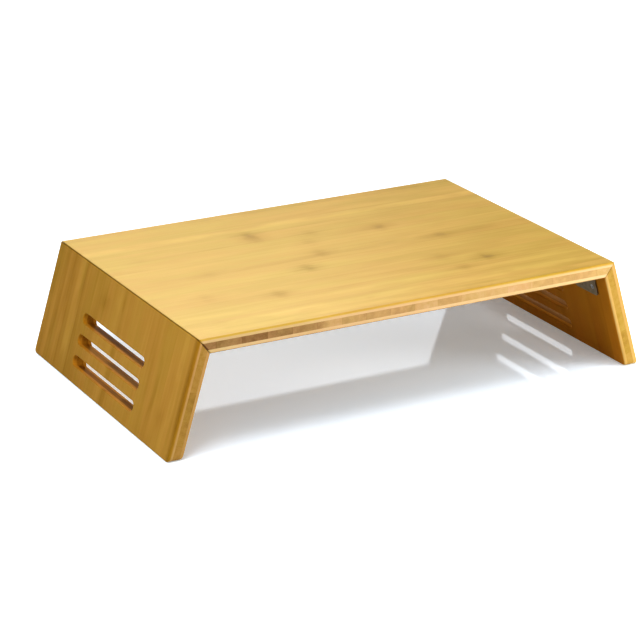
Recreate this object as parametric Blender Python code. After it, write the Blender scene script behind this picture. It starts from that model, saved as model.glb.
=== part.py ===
"""Folding laptop stand in laminated bamboo: a flat top and two splayed, slotted legs on butt hinges.

Frame: +X along the width, +Y towards the back, +Z up. The origin is on the ground, under the middle
of the top. The stand is modelled open, as it is used. All lengths are in metres.
"""

from math import cos, pi, radians, sin, tan

import bmesh
import bpy
from mathutils import Matrix, Vector

# The three boards
TOP_WIDTH = 0.446  # between the sharp outer corners of the two mitres
DEPTH = 0.316
BOARD = 0.015  # thickness of every board
HEIGHT = 0.112
SPLAY = radians(16.8)  # how far each leg leans out from upright
EDGE_RADIUS = 0.002  # round-over along the free edges
FOOT_CORNER_RADIUS = 0.0045  # corners of a leg at the ground, seen square on
MITRE_GAP = 0.0004
MITRE_EASE = 0.0005  # depth of the flat that takes the sharpness off each mitre

# The slots, all measured in the plane of a leg
SLOT_WIDTH = 0.0104
SLOT_LENGTH = 0.141
SLOT_CENTRES = (0.0520, 0.0734, 0.0948)  # down the outer face, from the mitre's corner
SLOT_EASE = 0.0008  # round-over of the slot rims

# The hinges
CLEARANCE = 0.0003  # between neighbouring pieces
BARREL_RADIUS = 0.0025
PIN_RADIUS = 0.0011
BORE_RADIUS = PIN_RADIUS + CLEARANCE
LEAF_LENGTH = 0.040
LEAF_REACH = 0.024  # from the pin's axis to the leaf's free edge
LEAF_THICKNESS = 0.0011
LEAF_CORNER_RADIUS = 0.0045
MIDDLE_KNUCKLE = 0.0130
HINGE_INSET = 0.038  # from the front or back edge to the middle of the hinge
PIN_DROP = BARREL_RADIUS + CLEARANCE  # from the pin's axis to the face of either board
PIN_PROUD = 0.0005

# The screws
SCREW_SPACING = 0.025
SCREW_REACH = 0.0150  # from the pin's axis
HEAD_RADIUS = 0.0025
SHANK_RADIUS = 0.0014
SCREW_LENGTH = 0.0095
TIP_LENGTH = 0.0025
HEAD_SINK = 0.00005
RECESS_REACH = 0.0016
RECESS_WIDTH = 0.0008
RECESS_DEPTH = 0.0008

# Facets
ROUND_OVER_STEPS = 4
CORNER_STEPS = 6
SLOT_END_STEPS = 10
BARREL_STEPS = 24
SCREW_STEPS = 16
BORE_STEPS = 20
SMOOTH_ANGLE = radians(32.0)

# Where things follow from the sizes above
MITRE_ANGLE = (pi / 2 + SPLAY) / 2  # between a board's face and its mitre
OUTER_CORNER = Vector((TOP_WIDTH / 2, 0.0, HEIGHT))
INNER_CORNER = OUTER_CORNER - Vector((BOARD / tan(MITRE_ANGLE), 0.0, BOARD))
PIN_AXIS = INNER_CORNER - Vector((PIN_DROP / tan(MITRE_ANGLE), 0.0, PIN_DROP))
MITRE_OUTWARD = Vector((cos(SPLAY), 0.0, 1 + sin(SPLAY))).normalized()  # from inner to outer corner
MITRE_NORMAL = Vector((MITRE_OUTWARD.z, 0.0, -MITRE_OUTWARD.x))  # out of the top, into the leg
LEAF_FACE = PIN_DROP - CLEARANCE - LEAF_THICKNESS  # from the pin's axis to the leaf's bare face


def clear_scene():
    for item in list(bpy.data.objects):
        bpy.data.objects.remove(item)


def make_material(name, colour, roughness, metallic):
    material = bpy.data.materials.new(name)
    material.use_nodes = True
    material.diffuse_color = (*colour, 1.0)
    shader = material.node_tree.nodes["Principled BSDF"]
    shader.inputs["Base Color"].default_value = (*colour, 1.0)
    shader.inputs["Roughness"].default_value = roughness
    shader.inputs["Metallic"].default_value = metallic
    return material


def mesh_object(name, bm):
    """A new object from bm, with round stretches shaded smooth."""
    bmesh.ops.recalc_face_normals(bm, faces=bm.faces)
    mesh = bpy.data.meshes.new(name)
    bm.to_mesh(mesh)
    bm.free()
    mesh.shade_smooth()
    mesh.set_sharp_from_angle(angle=SMOOTH_ANGLE)
    item = bpy.data.objects.new(name, mesh)
    bpy.context.collection.objects.link(item)
    return item


def booleaned(base, operation, *tools):
    """Applies one Boolean for each tool to base, then removes the tools."""
    for tool in tools:
        modifier = base.modifiers.new(operation.title(), "BOOLEAN")
        modifier.operation = operation
        modifier.object = tool
    bpy.context.view_layer.update()
    result = base.evaluated_get(bpy.context.evaluated_depsgraph_get())
    mesh = bpy.data.meshes.new_from_object(result)
    mesh.set_sharp_from_angle(angle=SMOOTH_ANGLE)
    base.modifiers.clear()
    base.data = mesh
    for tool in tools:
        bpy.data.objects.remove(tool)
    return base


def loft(rings):
    """A closed solid through rings of equal length, capped at both ends."""
    bm = bmesh.new()
    made = [[bm.verts.new(point) for point in ring] for ring in rings]
    count = len(rings[0])
    for lower, upper in zip(made, made[1:]):
        for i in range(count):
            j = (i + 1) % count
            bm.faces.new((lower[i], lower[j], upper[j], upper[i]))
    bm.faces.new(made[0][::-1])
    bm.faces.new(made[-1])
    return bm


def turned(profile, steps):
    """A closed solid of revolution about Z, from (radius, z) pairs that start and end on the axis."""
    bm = bmesh.new()
    ends = [bm.verts.new((0.0, 0.0, profile[i][1])) for i in (0, -1)]
    rings = []
    for radius, z in profile[1:-1]:
        angles = [2 * pi * i / steps for i in range(steps)]
        rings.append([bm.verts.new((radius * cos(a), radius * sin(a), z)) for a in angles])
    for i in range(steps):
        j = (i + 1) % steps
        bm.faces.new((ends[0], rings[0][j], rings[0][i]))
        bm.faces.new((ends[1], rings[-1][i], rings[-1][j]))
        for lower, upper in zip(rings, rings[1:]):
            bm.faces.new((lower[i], lower[j], upper[j], upper[i]))
    return bm


def trim(bm, point, normal):
    """Cuts away what lies on the side of the plane that normal points to, and closes the cut."""
    geometry = bm.verts[:] + bm.edges[:] + bm.faces[:]
    bmesh.ops.bisect_plane(
        bm, geom=geometry, dist=1e-7, plane_co=point, plane_no=normal, clear_outer=True
    )
    rim = [edge for edge in bm.edges if edge.is_boundary]
    bmesh.ops.holes_fill(bm, edges=rim)


def round_over(bm, edges, radius, steps):
    bmesh.ops.bevel(
        bm, geom=edges, offset=radius, segments=steps, profile=0.5, affect="EDGES",
        clamp_overlap=True,
    )


def prism(profile, half_depth):
    """An (x, z) outline extruded along Y."""
    sides = [[Vector((x, y, z)) for x, z in profile] for y in (-half_depth, half_depth)]
    return loft(sides)


# ------------------------------------------------------------------ boards


def leg_from_world():
    """World to the leg's own frame: pin axis along Y, +X out of the outer face, +Z up the slope."""
    return (Matrix.Translation(PIN_AXIS) @ Matrix.Rotation(-SPLAY, 4, "Y")).inverted()


def trim_mitre(bm, transform, side):
    """Cuts a board at its mitre, and eases the sharp edge. side is 1 for the top and -1 for the leg."""
    rotate = transform.to_3x3()
    cut = OUTER_CORNER - side * MITRE_NORMAL * MITRE_GAP / 2
    trim(bm, transform @ cut, rotate @ (side * MITRE_NORMAL))
    trim(bm, transform @ (OUTER_CORNER - MITRE_OUTWARD * MITRE_EASE), rotate @ MITRE_OUTWARD)


def stadium(half_length, radius, x, z_middle):
    """Points of a round-ended slot outline at one depth x, with its length along Y."""
    points = []
    for end, start in ((1, 0.0), (-1, pi)):
        for i in range(SLOT_END_STEPS + 1):
            angle = start + pi * i / SLOT_END_STEPS
            y = end * half_length + radius * sin(angle)
            points.append(Vector((x, y, z_middle + radius * cos(angle))))
    return points


def slot_cutter(z_middle):
    """A slot right through the leg, flared at both faces by a quarter round."""
    inner, outer = PIN_DROP, PIN_DROP + BOARD
    flare = [(SLOT_EASE * (1 - sin(a)), SLOT_EASE * (1 - cos(a))) for a in (0.0, pi / 6, pi / 3, pi / 2)]
    depths = [(inner - SLOT_EASE, SLOT_EASE)]
    depths += [(inner + down, wider) for wider, down in flare]
    depths += [(outer - down, wider) for wider, down in reversed(flare)]
    depths += [(outer + SLOT_EASE, SLOT_EASE)]
    half_length = (SLOT_LENGTH - SLOT_WIDTH) / 2
    rings = [stadium(half_length, SLOT_WIDTH / 2 + wider, x, z_middle) for x, wider in depths]
    return mesh_object("slot_cutter", loft(rings))


def screw_places():
    """(y, reach) of the two screws in a leaf whose middle is at y = 0."""
    return [(side * SCREW_SPACING / 2, SCREW_REACH) for side in (-1, 1)]


def hinge_places():
    """(name, y) of the middle of each hinge on one side of the stand."""
    y = DEPTH / 2 - HINGE_INSET
    return [("front", -y), ("back", y)]


def pilot_cutter(face_point, into):
    """A blind hole with a coned bottom for one screw, into the wood from face_point."""
    radius = SHANK_RADIUS + CLEARANCE
    depth = SCREW_LENGTH
    profile = [(0, -BOARD / 4), (radius, -BOARD / 4), (radius, depth - TIP_LENGTH), (0, depth)]
    cutter = mesh_object("pilot_cutter", turned(profile, SCREW_STEPS))
    cutter.matrix_world = Matrix.Translation(face_point) @ into.to_track_quat("Z", "Y").to_matrix().to_4x4()
    return cutter


def make_leg_mesh():
    """One leg in its own frame, with its slots and pilot holes."""
    to_leg = leg_from_world()
    inner, outer = PIN_DROP, PIN_DROP + BOARD
    ground = [to_leg @ Vector((x, 0.0, 0.0)) for x in (0.0, 1.0)]
    slope = (ground[1].z - ground[0].z) / (ground[1].x - ground[0].x)
    top = BOARD  # past the mitre, which trims it

    def ground_z(x):
        return ground[0].z + slope * (x - ground[0].x)

    profile = [(inner, ground_z(inner)), (outer, ground_z(outer)), (outer, top), (inner, top)]
    bm = prism(profile, DEPTH / 2)
    low = [e for e in bm.edges if all(v.co.z < -HEIGHT / 2 for v in e.verts)]
    foot_corners = [e for e in low if abs(e.verts[0].co.y - e.verts[1].co.y) < CLEARANCE]
    round_over(bm, foot_corners, FOOT_CORNER_RADIUS, CORNER_STEPS)
    bm.faces.ensure_lookup_table()
    faces = [f for f in bm.faces if abs(f.normal.x) > 0.999]
    rims = {e for f in faces for e in f.edges if min(v.co.z for v in e.verts) < top - 1e-6}
    round_over(bm, list(rims), EDGE_RADIUS, ROUND_OVER_STEPS)
    trim_mitre(bm, to_leg, -1)
    leg = mesh_object("leg", bm)

    corner_z = (to_leg @ OUTER_CORNER).z
    cutters = [slot_cutter(corner_z - centre) for centre in SLOT_CENTRES]
    for _, y_hinge in hinge_places():
        for y, reach in screw_places():
            cutters.append(pilot_cutter(Vector((inner, y_hinge + y, -reach)), Vector((1, 0, 0))))
    mesh = booleaned(leg, "DIFFERENCE", *cutters).data
    bpy.data.objects.remove(leg)
    return mesh


def make_top_mesh():
    bottom = HEIGHT - BOARD
    reach = TOP_WIDTH / 2 + BOARD
    bm = prism([(-reach, bottom), (reach, bottom), (reach, HEIGHT), (-reach, HEIGHT)], DEPTH / 2)
    long_edges = [e for e in bm.edges if abs(e.verts[0].co.x - e.verts[1].co.x) > TOP_WIDTH]
    round_over(bm, long_edges, EDGE_RADIUS, ROUND_OVER_STEPS)
    trim_mitre(bm, Matrix.Identity(4), 1)
    trim_mitre(bm, Matrix.Rotation(pi, 4, "Z"), 1)
    top = mesh_object("top", bm)

    cutters = []
    for side in (-1, 1):
        for _, y_hinge in hinge_places():
            for y, reach in screw_places():
                x = side * (PIN_AXIS.x - reach)
                cutters.append(pilot_cutter(Vector((x, y_hinge + y, bottom)), Vector((0, 0, 1))))
    mesh = booleaned(top, "DIFFERENCE", *cutters).data
    bpy.data.objects.remove(top)
    return mesh


# ------------------------------------------------------------------ hinges


def leaf_plate(knuckle_spans):
    """The flat of a leaf, with its bare face at x = LEAF_FACE and a tab up to the barrel at each knuckle."""
    half = LEAF_LENGTH / 2
    shoulder = -(BARREL_RADIUS + 2 * CLEARANCE)
    quarter = [pi / 2 * i / CORNER_STEPS for i in range(CORNER_STEPS + 1)]
    outline = []
    for side, angles in ((-1, quarter[::-1]), (1, quarter)):
        for angle in angles:
            y = side * (half - LEAF_CORNER_RADIUS * (1 - sin(angle)))
            outline.append((y, -LEAF_REACH + LEAF_CORNER_RADIUS * (1 - cos(angle))))
    outline.append((half, shoulder))
    for low, high in sorted(knuckle_spans, reverse=True):
        if high < half:
            outline.append((high, shoulder))
        outline += [(high, 0.0), (low, 0.0)]
        if low > -half:
            outline.append((low, shoulder))
    outline.append((-half, shoulder))
    faces = [[Vector((x, y, z)) for y, z in outline] for x in (LEAF_FACE, LEAF_FACE + LEAF_THICKNESS)]
    return mesh_object("leaf", loft(faces))


def tube_along_y(radius, low, high):
    profile = [(0, low), (radius, low), (radius, high), (0, high)]
    tube = mesh_object("tube", turned(profile, BARREL_STEPS))
    tube.matrix_world = Matrix.Rotation(-pi / 2, 4, "X")
    return tube


def countersink_cutter(y, reach):
    """The hole for one screw, from the leaf's bare face through to the wood."""
    mouth, hole = HEAD_RADIUS + CLEARANCE, SHANK_RADIUS + CLEARANCE
    profile = [
        (0, -LEAF_THICKNESS), (mouth, -LEAF_THICKNESS), (mouth, 0),
        (hole, mouth - hole), (hole, 2 * LEAF_THICKNESS), (0, 2 * LEAF_THICKNESS),
    ]
    cutter = mesh_object("countersink", turned(profile, BORE_STEPS))
    cutter.matrix_world = Matrix.Translation((LEAF_FACE, y, -reach)) @ Matrix.Rotation(pi / 2, 4, "Y")
    return cutter


def make_leaf_mesh(knuckle_spans):
    """A leaf in the frame of its pin: pin axis along Y, the plate hanging down -Z, wood at +X."""
    leaf = leaf_plate(knuckle_spans)
    knuckles = [tube_along_y(BARREL_RADIUS, low, high) for low, high in knuckle_spans]
    booleaned(leaf, "UNION", *knuckles)
    cutters = [tube_along_y(BORE_RADIUS, -LEAF_LENGTH, LEAF_LENGTH)]
    cutters += [countersink_cutter(y, reach) for y, reach in screw_places()]
    mesh = booleaned(leaf, "DIFFERENCE", *cutters).data
    bpy.data.objects.remove(leaf)
    return mesh


def make_pin_mesh():
    half = LEAF_LENGTH / 2
    dome = PIN_PROUD
    profile = [
        (0, -half - dome), (PIN_RADIUS * 0.7, -half - dome * 0.7), (PIN_RADIUS, -half),
        (PIN_RADIUS, half), (PIN_RADIUS * 0.7, half + dome * 0.7), (0, half + dome),
    ]
    pin = mesh_object("pin", turned(profile, SCREW_STEPS))
    pin.data.transform(Matrix.Rotation(-pi / 2, 4, "X"))
    mesh = pin.data
    bpy.data.objects.remove(pin)
    return mesh


def recess_cutter():
    """A cross, narrowing as it goes down, for the driver."""
    arms = []
    for turn in (0.0, pi / 2):
        rings = []
        for z, grow in ((-RECESS_DEPTH, 1.35), (RECESS_DEPTH, 0.65)):
            x, y = RECESS_REACH * grow, RECESS_WIDTH / 2 * grow
            rings.append([Vector((a, b, z)) for a, b in ((-x, -y), (x, -y), (x, y), (-x, y))])
        arm = mesh_object("arm", loft(rings))
        arm.matrix_world = Matrix.Rotation(turn, 4, "Z")
        arms.append(arm)
    return booleaned(arms[0], "UNION", arms[1])


def make_screw_mesh():
    """A countersunk wood screw: head up at z = 0, tip towards +Z."""
    head_depth = HEAD_RADIUS - SHANK_RADIUS
    profile = [
        (0, 0), (HEAD_RADIUS, 0), (SHANK_RADIUS, head_depth),
        (SHANK_RADIUS, SCREW_LENGTH - TIP_LENGTH), (0, SCREW_LENGTH),
    ]
    screw = mesh_object("screw", turned(profile, SCREW_STEPS))
    mesh = booleaned(screw, "DIFFERENCE", recess_cutter()).data
    bpy.data.objects.remove(screw)
    return mesh


def knuckle_spans():
    """(spans of the leg's leaf, spans of the top's leaf) along the pin."""
    middle = MIDDLE_KNUCKLE / 2
    outer = LEAF_LENGTH / 2
    return [(-middle, middle)], [
        (-outer, -middle - CLEARANCE),
        (middle + CLEARANCE, outer),
    ]


# ------------------------------------------------------------------ assembly


def place(name, mesh, material, parent, matrix):
    item = bpy.data.objects.new(name, mesh)
    bpy.context.collection.objects.link(item)
    if not mesh.materials:
        mesh.materials.append(material)
    item.parent = parent
    item.matrix_local = matrix
    return item


def place_screws(where, parent, leaf_matrix, mesh, material):
    """Two screws through one leaf, heads just below its bare face."""
    for number, (y, reach) in enumerate(screw_places(), start=1):
        seat = Matrix.Translation((LEAF_FACE + HEAD_SINK, y, -reach)) @ Matrix.Rotation(pi / 2, 4, "Y")
        place(f"screw_{where}_{number}", mesh, material, parent, leaf_matrix @ seat)


def axis_empty(name, location, rotation):
    """An empty on a hinge line, for what turns about it."""
    empty = bpy.data.objects.new(name, None)
    empty.empty_display_size = HINGE_INSET
    empty.location = location
    empty.rotation_euler = rotation
    bpy.context.collection.objects.link(empty)
    return empty


def build():
    clear_scene()
    bamboo = make_material("bamboo", (0.66, 0.42, 0.16), 0.42, 0.0)
    nickel = make_material("hinge_nickel", (0.62, 0.60, 0.57), 0.28, 1.0)
    steel = make_material("screw_steel", (0.55, 0.54, 0.52), 0.32, 1.0)

    leg_mesh = make_leg_mesh()
    leg_spans, top_spans = knuckle_spans()
    leg_leaf = make_leaf_mesh(leg_spans)
    top_leaf = make_leaf_mesh(top_spans)
    pin_mesh = make_pin_mesh()
    screw_mesh = make_screw_mesh()

    place("top_panel", make_top_mesh(), bamboo, None, Matrix.Identity(4))
    for side, sign, turn in (("right", 1, 0.0), ("left", -1, pi)):
        location = (sign * PIN_AXIS.x, 0.0, PIN_AXIS.z)
        fixed = axis_empty(f"{side}_hinge_line", location, (0.0, 0.0, turn))
        leg_axis = axis_empty(f"{side}_leg_axis", location, (0.0, -SPLAY, turn))
        place(f"{side}_leg", leg_mesh, bamboo, leg_axis, Matrix.Identity(4))
        for end, y in hinge_places():
            # Seen in the left side's own turned frame, the front is at +Y.
            along = Matrix.Translation((0.0, sign * y, 0.0))
            # The top's leaf lies under the top: its plate runs towards -X and its wood is at +Z.
            under = along @ Matrix.Rotation(pi / 2, 4, "Y") @ Matrix.Rotation(pi, 4, "Z")
            where = f"{end}_{side}"
            place(f"hinge_{where}_leg_leaf", leg_leaf, nickel, leg_axis, along)
            place(f"hinge_{where}_top_leaf", top_leaf, nickel, fixed, under)
            place(f"hinge_{where}_pin", pin_mesh, steel, fixed, along)
            place_screws(f"{where}_leg", leg_axis, along, screw_mesh, steel)
            place_screws(f"{where}_top", fixed, under, screw_mesh, steel)


build()
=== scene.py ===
"""Folding bamboo laptop stand: the finish of its boards and hinges, the light, the floor and the camera.

Lengths are in metres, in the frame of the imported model: +X to the right, +Y to the back, +Z up.
"""

from math import cos, radians, sin, tan

import bpy
import numpy as np
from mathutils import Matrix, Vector


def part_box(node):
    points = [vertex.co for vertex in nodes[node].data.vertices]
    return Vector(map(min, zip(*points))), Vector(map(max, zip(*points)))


# ------------------------------------------------------------------ sizes

BOARD = 0.015  # thickness of every board
FACE_PLY = 0.0041  # thickness of the two outer plies; the core is what is left
SPLAY = radians(16.8)  # how far each leg leans out from upright
MITRE_RUN = 1.0 / tan(radians(45) + SPLAY / 2)  # how far a mitre runs along its board, for its depth
STRIP = 0.0255  # width of one bamboo strip
FIRST_JOINT = 0.144  # from the middle of a board to the joint nearest its front edge
SHADE_DRIFT = 0.09  # painted shade: how much the tone of an outer face changes from its middle to either end

BOARD_END = 0.158  # from the middle to the front or back edge of any board
FACE_SKIN = (0.0012, 0.0030)  # depth over which an outer face's marks fade out
CUT_SKIN = (0.0008, 0.0026)  # depth over which an outer face's tint turns into that of the edges
INNER_SKIN = (0.0014, 0.0005)  # the same for an inner face, measured from that face
STAIN_BAND = (-0.1565, -0.1485)  # across the board, where the stain along the front edge fades out
CORE_SHADE_END = (-0.102, -0.090)  # along the top, where the painted shade on its core ends
GLUE_SPREAD = (0.0004, 0.0014)  # from a mitre, where its glue line fades out

SMOOTH_ANGLE = radians(32)
MERGE_DIGITS = 6  # corners that agree to a micrometre are one corner

# ------------------------------------------------------------------ camera and light

CAMERA_AZIMUTH = radians(-28.445)
CAMERA_ELEVATION = radians(20.397)
CAMERA_DISTANCE = 2.3522
CAMERA_TARGET = Vector((-0.0060, 0.0182, 0.0352))
CAMERA_LENS = 132.73  # mm, on the 36 mm sensor

LOW_SUN_TRAVEL = Vector((-1.43, -2.23, -1.0))  # from behind on the right, under the top
HIGH_SUN_TRAVEL = Vector((0.10, 0.16, -1.0))
LOW_SUN_STRENGTH = 1.9
HIGH_SUN_STRENGTH = 0.55
WORLD_STRENGTH = 0.46
TABLE_GLOW = 0.175  # the floor is a shooting table lit from beneath, which keeps its shadows pale


# ------------------------------------------------------------------ node helpers


class Graph:
    """Short calls that add nodes to one material and return their output sockets."""

    def __init__(self, name):
        self.material = bpy.data.materials.new(name)
        self.material.use_nodes = True
        self.tree = self.material.node_tree
        self.shader = self.tree.nodes["Principled BSDF"]

    def add(self, kind, inputs=(), **settings):
        node = self.tree.nodes.new(kind)
        for key, value in settings.items():
            setattr(node, key, value)
        for key, value in dict(inputs).items():
            self.feed(node.inputs[key], value)
        return node

    def feed(self, socket, value):
        if isinstance(value, bpy.types.NodeSocket):
            self.tree.links.new(value, socket)
        else:
            socket.default_value = value

    def math(self, operation, *values):
        inputs = dict(enumerate(values))
        return self.add("ShaderNodeMath", inputs, operation=operation).outputs[0]

    def vector(self, x, y, z):
        return self.add("ShaderNodeCombineXYZ", {0: x, 1: y, 2: z}).outputs[0]

    def noise(self, vector, scale, detail=2.0, roughness=0.5, distortion=0.0):
        inputs = {
            "Vector": vector, "Scale": scale, "Detail": detail,
            "Roughness": roughness, "Distortion": distortion,
        }
        return self.add("ShaderNodeTexNoise", inputs, normalize=True).outputs["Fac"]

    def chance(self, *numbers):
        """An even random number from 0 to 1 for each set of three whole numbers."""
        inputs = {"Vector": self.vector(*numbers)}
        return self.add("ShaderNodeTexWhiteNoise", inputs, noise_dimensions="3D").outputs["Value"]

    def span(self, value, low, high, to_low=0.0, to_high=1.0, smooth=True):
        inputs = {"Value": value, 1: low, 2: high, 3: to_low, 4: to_high}
        kind = "SMOOTHSTEP" if smooth else "LINEAR"
        return self.add("ShaderNodeMapRange", inputs, interpolation_type=kind).outputs[0]

    def blend(self, factor, first, second, mode="MIX"):
        node = self.add("ShaderNodeMix", data_type="RGBA", blend_type=mode)
        for key, value in ((0, factor), (6, first), (7, second)):
            self.feed(node.inputs[key], value)
        return node.outputs[2]

    def swap(self, factor, first, second):
        """A number: first where factor is 0, second where it is 1."""
        node = self.add("ShaderNodeMix", data_type="FLOAT")
        for key, value in ((0, factor), (2, first), (3, second)):
            self.feed(node.inputs[key], value)
        return node.outputs[0]

    def ramp(self, value, stops):
        """Colours at places from 0 to 1, with even change between them."""
        node = self.add("ShaderNodeValToRGB", {0: value})
        while len(node.color_ramp.elements) < len(stops):
            node.color_ramp.elements.new(0.5)
        for element, (place, colour) in zip(node.color_ramp.elements, stops):
            element.position = place
            element.color = (*colour, 1.0)
        return node.outputs[0]

    def bump(self, height, distance, strength):
        inputs = {"Height": height, "Distance": distance, "Strength": strength}
        return self.add("ShaderNodeBump", inputs).outputs[0]

    def finish(self, **inputs):
        """Sets the shader's sockets, by their names with the spaces left out."""
        for key, value in inputs.items():
            socket = next(s for s in self.shader.inputs if s.name.replace(" ", "") == key)
            self.feed(socket, value)
        return self.material


# ------------------------------------------------------------------ bamboo

# From the palest strip to scorched wood, before a tint
BAMBOO_STOPS = (
    (0.00, (0.640, 0.460, 0.175)),
    (0.35, (0.540, 0.365, 0.120)),
    (0.60, (0.430, 0.282, 0.062)),
    (1.00, (0.140, 0.062, 0.010)),
)

# Tones: 0 is the palest strip and 1 is scorched wood
BASE_TONE = 0.35
STRIP_TONE = 0.08  # the spread between the strips of a face ply
CORE_STRIP_TONE = 0.04  # how much more the strips of the core differ
JOINT_TONE = 0.05
FIBRE_TONE = 0.15
VEIN_TONE = 0.20
CLOUD_TONE = 0.32
CORE_TONE = 0.26
# painted shade on the top's core near its left end
CORE_SHADE_TONE = 0.19
# painted shade on the walls of the slots
SLOT_SHADE_TONE = 0.12
KNOT_LAYERS = (((0.030, 0.016), 0.20), ((0.011, 0.018), 0.17))  # (size along and across, tone)

CORE_HUE = (1.01, 0.97, 1.18)  # the core of the top is a little pinker than its face plies
SLOT_SHADE_TINT = (0.93, 0.70, 0.36)  # painted shade on the walls of the slots
GREENER = (0.97, 1.01, 0.92, 1.0)
REDDER = (1.03, 0.97, 1.02, 1.0)
HUE_SPREAD = 0.6  # how much of the two hues above a strip takes on


def board_coordinates(g, turn, outer_corner, sense):
    """(along the grain, across it, depth below the outer face) for a board turned by turn about Y.

    outer_corner is a point of the outer face's edge at the mitre, where along and depth are 0.
    """
    place = g.add("ShaderNodeTexCoord").outputs["Object"]
    moved = g.add("ShaderNodeVectorMath", {0: place, 1: outer_corner}, operation="SUBTRACT").outputs[0]
    turned = g.add(
        "ShaderNodeVectorRotate", {"Vector": moved, "Angle": turn}, rotation_type="Y_AXIS"
    ).outputs[0]
    parts = g.add("ShaderNodeSeparateXYZ", {0: turned}).outputs
    return g.math("MULTIPLY", parts[0], sense), parts[1], g.math("MULTIPLY", parts[2], -1.0)


def spot(g, face, place, size, amount):
    """A soft oval of this size at a place on the face, where the tone is darker by amount."""
    from_place = g.add("ShaderNodeVectorMath", {0: face, 1: (*place, 0.0)}, operation="SUBTRACT").outputs[0]
    shape = (1.0 / size[0], 1.0 / size[1], 0.0)
    scaled = g.add("ShaderNodeVectorMath", {0: from_place, 1: shape}, operation="MULTIPLY").outputs[0]
    away = g.add("ShaderNodeVectorMath", {0: scaled}, operation="LENGTH").outputs["Value"]
    return g.span(away, 0.0, 1.0, amount, 0.0)


def knots_tone(g, along, across, seed, knots):
    """The joints of the cane, planed flat: a smudge on its strip, in a longer stain along the grain."""
    spots = g.vector(g.math("MULTIPLY", along, 90.0), g.math("MULTIPLY", across, 220.0), seed)
    ragged = g.math("MULTIPLY", g.math("SUBTRACT", g.noise(spots, 1.0, detail=3.0), 0.5), 0.011)
    face = g.vector(g.math("ADD", along, ragged), g.math("MULTIPLY_ADD", ragged, 0.6, across), 0.0)
    tone = None
    for place, strength in knots:
        for size, amount in KNOT_LAYERS:
            mark = spot(g, face, place, size, amount * strength)
            tone = mark if tone is None else g.math("ADD", tone, mark)
    return tone


def streaks_tone(g, along, across, seed, streaks):
    """Long streaks of darker or paler cane, each (place across the board, half its width, darker by)."""
    sway = g.noise(g.vector(g.math("MULTIPLY", along, 9.0), g.math("MULTIPLY", across, 20.0), seed), 1.0)
    swayed = g.math("MULTIPLY_ADD", g.math("SUBTRACT", sway, 0.5), 0.008, across)
    patches = g.noise(g.vector(g.math("MULTIPLY", along, 22.0), g.math("MULTIPLY", across, 60.0), seed), 1.0)
    patches = g.span(patches, 0.35, 0.60, 0.25, 1.0)
    tone = None
    for place, half_width, amount in streaks:
        away = g.math("ABSOLUTE", g.math("SUBTRACT", swayed, place))
        mark = g.span(away, half_width * 0.3, half_width, amount, 0.0)
        tone = mark if tone is None else g.math("ADD", tone, mark)
    return g.math("MULTIPLY", tone, patches)


def slot_walls(g, along, across, turn, slot_zone):
    """1 on the walls of the slots, and 0 on the faces of the board."""
    (low_along, high_along), half_across = slot_zone
    facing = g.add("ShaderNodeTexCoord").outputs["Normal"]
    facing = g.add("ShaderNodeVectorRotate", {"Vector": facing, "Angle": turn}, rotation_type="Y_AXIS")
    flat_on = g.math("ABSOLUTE", g.add("ShaderNodeSeparateXYZ", {0: facing.outputs[0]}).outputs[2])
    wall = g.span(flat_on, 0.35, 0.85, 1.0, 0.0)
    inside = g.math("LESS_THAN", g.math("ABSOLUTE", across), half_across)
    inside = g.math("MULTIPLY", inside, g.math("GREATER_THAN", along, low_along))
    inside = g.math("MULTIPLY", inside, g.math("LESS_THAN", along, high_along))
    return g.math("MULTIPLY", wall, inside)


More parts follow.
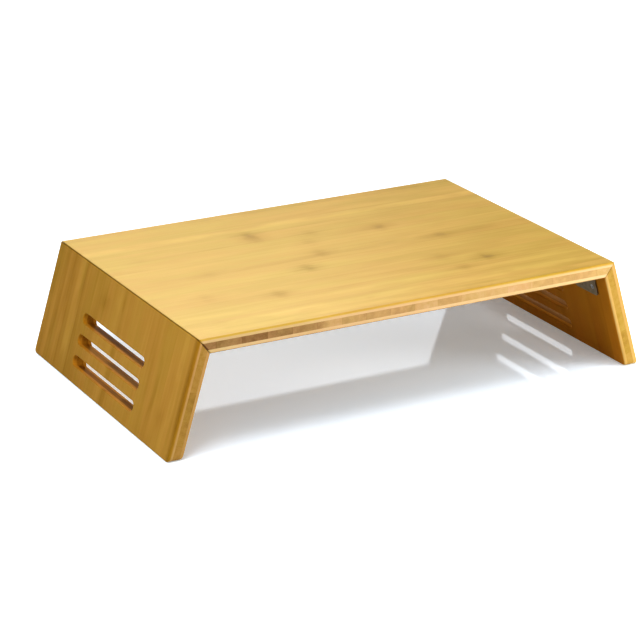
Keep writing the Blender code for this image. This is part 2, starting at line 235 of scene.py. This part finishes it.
def bamboo(name, board, look, slot_zone=None):
    """Laminated bamboo: two plies of strips along the board and a core of strips across it, lacquered.

    board is (turn, outer corner, sense of along, half length or None where only one end is mitred).
    look is (seed, tint of the edges, of the outer and of the inner face, which also paint light and shade,
    figure, gloss, darkness of the glue line at the two ends, darkness of the stain along the front edge,
    knots, streaks).
    """
    g = Graph(name)
    turn, outer_corner, sense, half_length = board
    seed, edge_tint, outer_tint, inner_shade_tint, figure, gloss, glue, stain, knots, streaks = look
    along, across, depth = board_coordinates(g, turn, outer_corner, sense)

    # The three plies, and the way the grain of each one runs
    below_face = g.math("GREATER_THAN", depth, FACE_PLY)
    below_core = g.math("GREATER_THAN", depth, BOARD - FACE_PLY)
    ply = g.math("ADD", below_face, below_core)
    core = g.math("SUBTRACT", below_face, below_core)
    on_face = g.span(depth, *FACE_SKIN, 1.0, 0.0)
    with_grain = g.swap(core, along, across)
    over_grain = g.swap(core, across, along)

    # The strips of each ply
    wander = g.noise(g.vector(g.math("MULTIPLY", with_grain, 2.0), seed, ply), 1.0)
    wander = g.math("MULTIPLY", g.math("SUBTRACT", wander, 0.5), 0.0006)
    start = g.math("MULTIPLY_ADD", ply, 0.011, FIRST_JOINT)
    strips = g.math("DIVIDE", g.math("ADD", g.math("ADD", over_grain, start), wander), STRIP)
    index = g.math("FLOOR", strips)
    in_strip = g.math("FRACT", strips)
    strip_tone = g.math("SUBTRACT", g.chance(index, ply, seed), 0.5)
    joint = g.math("ABSOLUTE", g.math("SUBTRACT", in_strip, 0.5))
    joint = g.span(joint, 0.47, 0.5)

    # Fibres, and slower changes of tone and of hue along a strip. Each strip is cut from its own cane.
    own = g.math("MULTIPLY", g.math("ADD", index, g.math("MULTIPLY", ply, 31.0)), 3.7)
    fibre_space = g.vector(g.math("MULTIPLY", with_grain, 7.0), g.math("MULTIPLY", over_grain, 900.0),
                           g.math("MULTIPLY_ADD", depth, 900.0, own))
    fibres = g.noise(fibre_space, 1.0, detail=3.0, roughness=0.62)
    vein_space = g.vector(g.math("MULTIPLY", with_grain, 5.0), g.math("MULTIPLY", over_grain, 210.0),
                          g.math("MULTIPLY_ADD", depth, 210.0, own))
    veins = g.noise(vein_space, 1.0, detail=2.0, distortion=0.3)
    cloud_space = g.vector(g.math("MULTIPLY", with_grain, 14.0), g.math("MULTIPLY", over_grain, 45.0),
                           g.math("MULTIPLY_ADD", depth, 45.0, own))
    clouds = g.noise(cloud_space, 1.0, detail=3.0)

    strip_spread = g.math("MULTIPLY_ADD", core, CORE_STRIP_TONE, STRIP_TONE)
    tone = g.math("MULTIPLY_ADD", strip_tone, strip_spread, BASE_TONE)
    for part, amount in ((fibres, FIBRE_TONE), (veins, VEIN_TONE), (clouds, CLOUD_TONE)):
        tone = g.math("MULTIPLY_ADD", g.math("SUBTRACT", part, 0.5), amount * figure, tone)
    tone = g.math("MULTIPLY_ADD", joint, JOINT_TONE, tone)

    # Knots and streaks belong to the outer face. End grain drinks more lacquer, so the core is darker.
    marks = streaks_tone(g, along, across, seed, streaks)
    marks = g.math("ADD", marks, knots_tone(g, along, across, seed, knots))
    tone = g.math("MULTIPLY_ADD", marks, on_face, tone)
    tone = g.math("MULTIPLY_ADD", core, CORE_TONE, tone)
    if half_length is not None:
        # Painted shade: the top's outer face is darker towards its right end, and its core darker near the
        # left end
        shade_drift = g.span(along, -half_length, half_length, -SHADE_DRIFT, SHADE_DRIFT)
        tone = g.math("MULTIPLY_ADD", on_face, shade_drift, tone)
        tone = g.math("MULTIPLY_ADD", core, g.span(along, *CORE_SHADE_END, CORE_SHADE_TONE, 0.0), tone)
    else:
        # Painted shade: a leg's outer face is darker towards the back
        shade_drift = g.span(across, -BOARD_END, BOARD_END, -SHADE_DRIFT, SHADE_DRIFT)
        tone = g.math("MULTIPLY_ADD", on_face, shade_drift, tone)
    tone = g.math("MULTIPLY_ADD", on_face, g.span(across, *STAIN_BAND, stain, 0.0), tone)

    # The glue line of the mitre, and painted shade on the walls of the slots
    to_end = along if half_length is None else g.math("SUBTRACT", half_length, g.math("ABSOLUTE", along))
    to_mitre = g.math("MULTIPLY_ADD", depth, -MITRE_RUN, to_end)
    line = g.span(to_mitre, *GLUE_SPREAD, 1.0, 0.0)
    tone = g.math("MULTIPLY_ADD", line, g.span(along, -0.001, 0.001, *glue), tone)

    # The tints of the faces paint light and shade as well: the inner face is painted in shade
    tint = g.blend(g.span(depth, *CUT_SKIN), (*outer_tint, 1.0), (*edge_tint, 1.0))
    inner_start, inner_end = (BOARD - skin for skin in INNER_SKIN)
    tint = g.blend(g.span(depth, inner_start, inner_end), tint, (*inner_shade_tint, 1.0))
    if half_length is not None:
        tint = g.blend(core, tint, g.blend(1.0, tint, (*CORE_HUE, 1.0), mode="MULTIPLY"))
    # Painted shade: the walls of the slots are darker and redder
    if slot_zone:
        walls = slot_walls(g, along, across, turn, slot_zone)
        tone = g.math("MULTIPLY_ADD", walls, SLOT_SHADE_TONE, tone)
        tint = g.blend(walls, tint, (*SLOT_SHADE_TINT, 1.0))
    colour = g.blend(1.0, g.ramp(tone, BAMBOO_STOPS), tint, mode="MULTIPLY")
    hue_space = g.vector(g.math("MULTIPLY", with_grain, 8.0), g.math("MULTIPLY", over_grain, 30.0), own)
    redness = g.span(g.noise(hue_space, 1.0), 0.35, 0.65)
    redness = g.blend(redness, GREENER, REDDER)
    colour = g.blend(HUE_SPREAD, colour, redness, mode="MULTIPLY")
    rough = g.span(fibres, 0.25, 0.75, 0.29, 0.37, smooth=False)
    relief = g.math("MULTIPLY_ADD", joint, -0.6, fibres)
    normal = g.bump(relief, 0.00004, 0.5)
    return g.finish(BaseColor=colour, Roughness=rough, Normal=normal, SpecularIORLevel=gloss)


# ------------------------------------------------------------------ metal

AGED_NICKEL = (0.30, 0.245, 0.165)
SCREW_STEEL = (0.50, 0.49, 0.48)
METAL_ROUGHNESS = 0.34


def plated_metal(name, colour, roughness):
    """Metal plate with a soft mottle and fine rolling marks, which also show in its roughness and relief."""
    g = Graph(name)
    place = g.add("ShaderNodeTexCoord").outputs["Object"]
    mottle = g.noise(place, 260.0, detail=3.0)
    marks = g.add("ShaderNodeMapping", {"Vector": place, "Scale": (900.0, 60.0, 900.0)}).outputs[0]
    marks = g.noise(marks, 1.0, detail=2.0)
    dull = tuple(channel * 0.72 for channel in colour)
    shade = g.blend(g.span(mottle, 0.35, 0.75), (*colour, 1.0), (*dull, 1.0))
    rough = g.math("MULTIPLY_ADD", marks, 0.18, roughness - 0.09)
    normal = g.bump(marks, 0.00002, 0.6)
    return g.finish(BaseColor=shade, Roughness=rough, Metallic=1.0, Normal=normal)


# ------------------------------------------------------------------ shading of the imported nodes


def shade_rounds(item):
    """Smooth normals over the facets of round stretches. Flat faces keep theirs, and no point moves."""
    mesh = item.data
    mesh.shade_smooth()
    corners = np.array([loop.vertex_index for loop in mesh.loops])
    places = np.array([vertex.co for vertex in mesh.vertices])
    _, meeting = np.unique(np.round(places, MERGE_DIGITS), axis=0, return_inverse=True)
    meeting = meeting.reshape(-1)[corners]
    face_of = np.zeros(len(corners), int)
    for face in mesh.polygons:
        face_of[face.loop_start:face.loop_start + face.loop_total] = face.index
    normals = np.array([face.normal for face in mesh.polygons])
    areas = np.array([face.area for face in mesh.polygons])
    order = np.argsort(meeting, kind="stable")
    limit = cos(SMOOTH_ANGLE)
    result = np.zeros((len(corners), 3))
    for group in np.split(order, np.flatnonzero(np.diff(meeting[order])) + 1):
        faces = face_of[group]
        alike = normals[faces] @ normals[faces].T > limit
        result[group] = alike @ (normals[faces] * areas[faces][:, None])
    result /= np.maximum(np.linalg.norm(result, axis=1), 1e-20)[:, None]
    mesh.normals_split_custom_set([tuple(normal) for normal in result])


def set_material(item, material):
    item.data.materials.clear()
    item.data.materials.append(material)


# ------------------------------------------------------------------ stage


def make_floor():
    g = Graph("pale_floor")
    grain = g.noise(g.add("ShaderNodeTexCoord").outputs["Object"], 6.0)
    tint = g.blend(g.span(grain, 0.3, 0.7), (0.81, 0.88, 0.96, 1.0), (0.83, 0.90, 0.98, 1.0))
    material = g.finish(
        BaseColor=tint, Roughness=0.9, SpecularIORLevel=0.0,
        EmissionColor=(0.85, 0.945, 1.02, 1.0), EmissionStrength=TABLE_GLOW,
    )
    bpy.ops.mesh.primitive_plane_add(size=40.0)
    floor = bpy.context.object
    floor.name = "studio_floor"
    set_material(floor, material)


def add_sun(name, travel, strength, angle, glossy=True):
    light = bpy.data.lights.new(name, "SUN")
    light.energy = strength
    light.angle = angle
    item = bpy.data.objects.new(name, light)
    item.visible_glossy = glossy
    item.rotation_euler = travel.to_track_quat("-Z", "Y").to_euler()
    bpy.context.scene.collection.objects.link(item)


def add_softbox(name, place, aim, size, power, sheen_only=False, glossy=True):
    light = bpy.data.lights.new(name, "AREA")
    light.shape = "SQUARE"
    light.size = size
    light.energy = power
    item = bpy.data.objects.new(name, light)
    item.location = place
    item.rotation_euler = (Vector(aim) - Vector(place)).to_track_quat("-Z", "Y").to_euler()
    item.visible_diffuse = not sheen_only
    item.visible_glossy = glossy
    bpy.context.scene.collection.objects.link(item)


def make_world(strength):
    world = bpy.data.worlds.new("studio")
    world.use_nodes = True
    background = world.node_tree.nodes["Background"]
    background.inputs["Color"].default_value = (0.95, 0.975, 1.0, 1.0)
    background.inputs["Strength"].default_value = strength
    bpy.context.scene.world = world


def make_camera():
    camera = bpy.data.cameras.new("camera")
    camera.lens = CAMERA_LENS
    camera.sensor_width = 36.0
    camera.clip_start = 0.05
    camera.clip_end = 60.0
    item = bpy.data.objects.new("camera", camera)
    flat = cos(CAMERA_ELEVATION)
    back = Vector((
        sin(CAMERA_AZIMUTH) * flat,
        -cos(CAMERA_AZIMUTH) * flat,
        sin(CAMERA_ELEVATION),
    ))
    item.location = CAMERA_TARGET + back * CAMERA_DISTANCE
    item.rotation_euler = (-back).to_track_quat("-Z", "Y").to_euler()
    bpy.context.scene.collection.objects.link(item)
    bpy.context.scene.camera = item


# ------------------------------------------------------------------ the scene

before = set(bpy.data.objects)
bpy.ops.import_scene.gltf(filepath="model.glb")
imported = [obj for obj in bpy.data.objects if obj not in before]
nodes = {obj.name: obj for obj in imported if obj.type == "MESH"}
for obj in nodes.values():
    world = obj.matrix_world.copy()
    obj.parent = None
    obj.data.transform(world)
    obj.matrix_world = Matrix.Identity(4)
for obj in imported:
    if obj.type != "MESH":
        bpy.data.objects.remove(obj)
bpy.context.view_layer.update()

make_camera()

top_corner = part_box("top_panel")[1]
half_width, height = top_corner.x, top_corner.z
# Knots are ((along, across), strength), and streaks are (across, half width, darker by)
TOP_KNOTS = (
    ((-0.052, 0.084), 0.9), ((-0.052, 0.070), 0.7), ((-0.046, -0.031), 1.0), ((-0.014, 0.002), 0.6),
    ((-0.104, -0.084), 0.8), ((0.123, -0.082), 0.8), ((0.077, 0.046), 0.7), ((0.006, 0.062), 0.4),
    ((-0.008, 0.037), 0.4), ((-0.169, -0.061), 0.4), ((-0.186, -0.132), 0.4), ((0.083, -0.065), 0.3),
    ((0.087, -0.102), 0.5), ((-0.181, 0.066), 0.25), ((-0.138, -0.004), 0.25), ((0.118, -0.006), 0.4),
)
TOP_STREAKS = (
    (0.103, 0.009, -0.20), (0.150, 0.007, 0.12), (-0.108, 0.006, -0.12), (-0.132, 0.010, -0.20),
    (-0.148, 0.008, -0.14), (-0.004, 0.008, 0.06),
)
LEG_KNOTS = {
    "left": (((0.025, 0.034), 0.5), ((0.085, -0.124), 0.4), ((0.097, 0.026), 0.3)),
    "right": (((0.035, 0.060), 0.5), ((0.080, -0.105), 0.4), ((0.020, -0.040), 0.4)),
}
LEG_STREAKS = {
    "left": (
        (0.150, 0.006, 0.16), (0.133, 0.007, 0.12), (0.113, 0.007, 0.12), (0.097, 0.008, -0.16),
        (0.083, 0.005, 0.12), (0.008, 0.008, -0.14), (-0.007, 0.007, 0.16), (-0.102, 0.006, 0.16),
        (-0.138, 0.008, -0.14),
    ),
    "right": ((0.150, 0.006, 0.16), (0.060, 0.008, -0.14), (-0.040, 0.007, 0.14), (-0.120, 0.006, -0.14)),
}
SLOT_ZONE = ((0.041, 0.105), 0.074)  # the slots lie between these along a leg, and this far across

# Tints of (the cut edges, the outer face, the inner face). They paint light and shade as well as the cane's
# colour: the same cane is tinted darker on the legs than on the top, darker on the left leg's edges than on
# the right's, and much darker on the inner faces, as painted shade.
TOP_TINTS_WITH_SHADE = ((1.00, 1.01, 1.55), (0.89, 0.85, 0.55), (0.50, 0.38, 0.24))
LEG_TINTS_WITH_SHADE = {
    "left": ((0.80, 0.72, 0.86), (0.76, 0.63, 0.35), (0.64, 0.43, 0.12)),
    "right": ((0.81, 0.77, 0.82), (0.72, 0.64, 0.47), (0.69, 0.43, 0.10)),
}
GLUE_LINE = {"left": 0.34, "right": 0.05}
EDGE_STAIN = {"left": 0.34, "right": 0.0}
TOP_SEED = 3.0
LEG_SEED = 11.0
TOP_FIGURE = 0.9  # how strongly the fibres, veins and clouds show
LEG_FIGURE = 1.2
TOP_GLOSS = 0.12
LEG_GLOSS = 0.02
set_material(
    nodes["top_panel"],
    bamboo(
        "bamboo_top", (0.0, (0.0, 0.0, height), 1, half_width),
        (
            TOP_SEED, *TOP_TINTS_WITH_SHADE, TOP_FIGURE, TOP_GLOSS, tuple(GLUE_LINE.values()), 0.0,
            TOP_KNOTS, TOP_STREAKS,
        ),
    ),
)
for side, sign in (("left", -1), ("right", 1)):
    # Along runs down the slope of the leg, so the board is turned past upright by its splay.
    turn = -sign * (radians(90) - SPLAY)
    board = (turn, (sign * half_width, 0.0, height), sign, None)
    marks = ((GLUE_LINE[side], GLUE_LINE[side]), EDGE_STAIN[side], LEG_KNOTS[side], LEG_STREAKS[side])
    look = (LEG_SEED + sign, *LEG_TINTS_WITH_SHADE[side], LEG_FIGURE, LEG_GLOSS, *marks)
    set_material(nodes[f"{side}_leg"], bamboo(f"bamboo_{side}", board, look, SLOT_ZONE))

nickel = plated_metal("hinge_nickel_plate", AGED_NICKEL, METAL_ROUGHNESS)
steel = plated_metal("screw_nickel_plate", SCREW_STEEL, METAL_ROUGHNESS)
for name, item in nodes.items():
    if name.startswith("screw") or name.endswith("_pin"):
        set_material(item, steel)
    elif name.startswith("hinge"):
        set_material(item, nickel)
    shade_rounds(item)

make_floor()
make_world(WORLD_STRENGTH)
add_sun("low_sun", LOW_SUN_TRAVEL, LOW_SUN_STRENGTH, radians(1.1), glossy=False)
add_sun("high_sun", HIGH_SUN_TRAVEL, HIGH_SUN_STRENGTH, radians(24))
# The card shows only as a sheen on the top, and the two low boxes light the front without a glare
add_softbox("back_card", (0.6, 2.1, 2.1), (0.0, 0.0, 0.1), 1.6, 50.0, sheen_only=True)
add_softbox("left_softbox", (-0.55, -0.35, 1.2), (-0.1, 0.0, 0.1), 0.6, 4.0)
add_softbox("front_softbox", (0.55, -1.30, 0.22), (0.0, -0.16, 0.08), 0.6, 4.0, glossy=False)
add_softbox("right_softbox", (0.80, -0.60, 0.16), (0.20, -0.16, 0.08), 0.3, 4.4, glossy=False)

bpy.context.scene.view_settings.view_transform = "Standard"
bpy.context.scene.view_settings.look = "High Contrast"
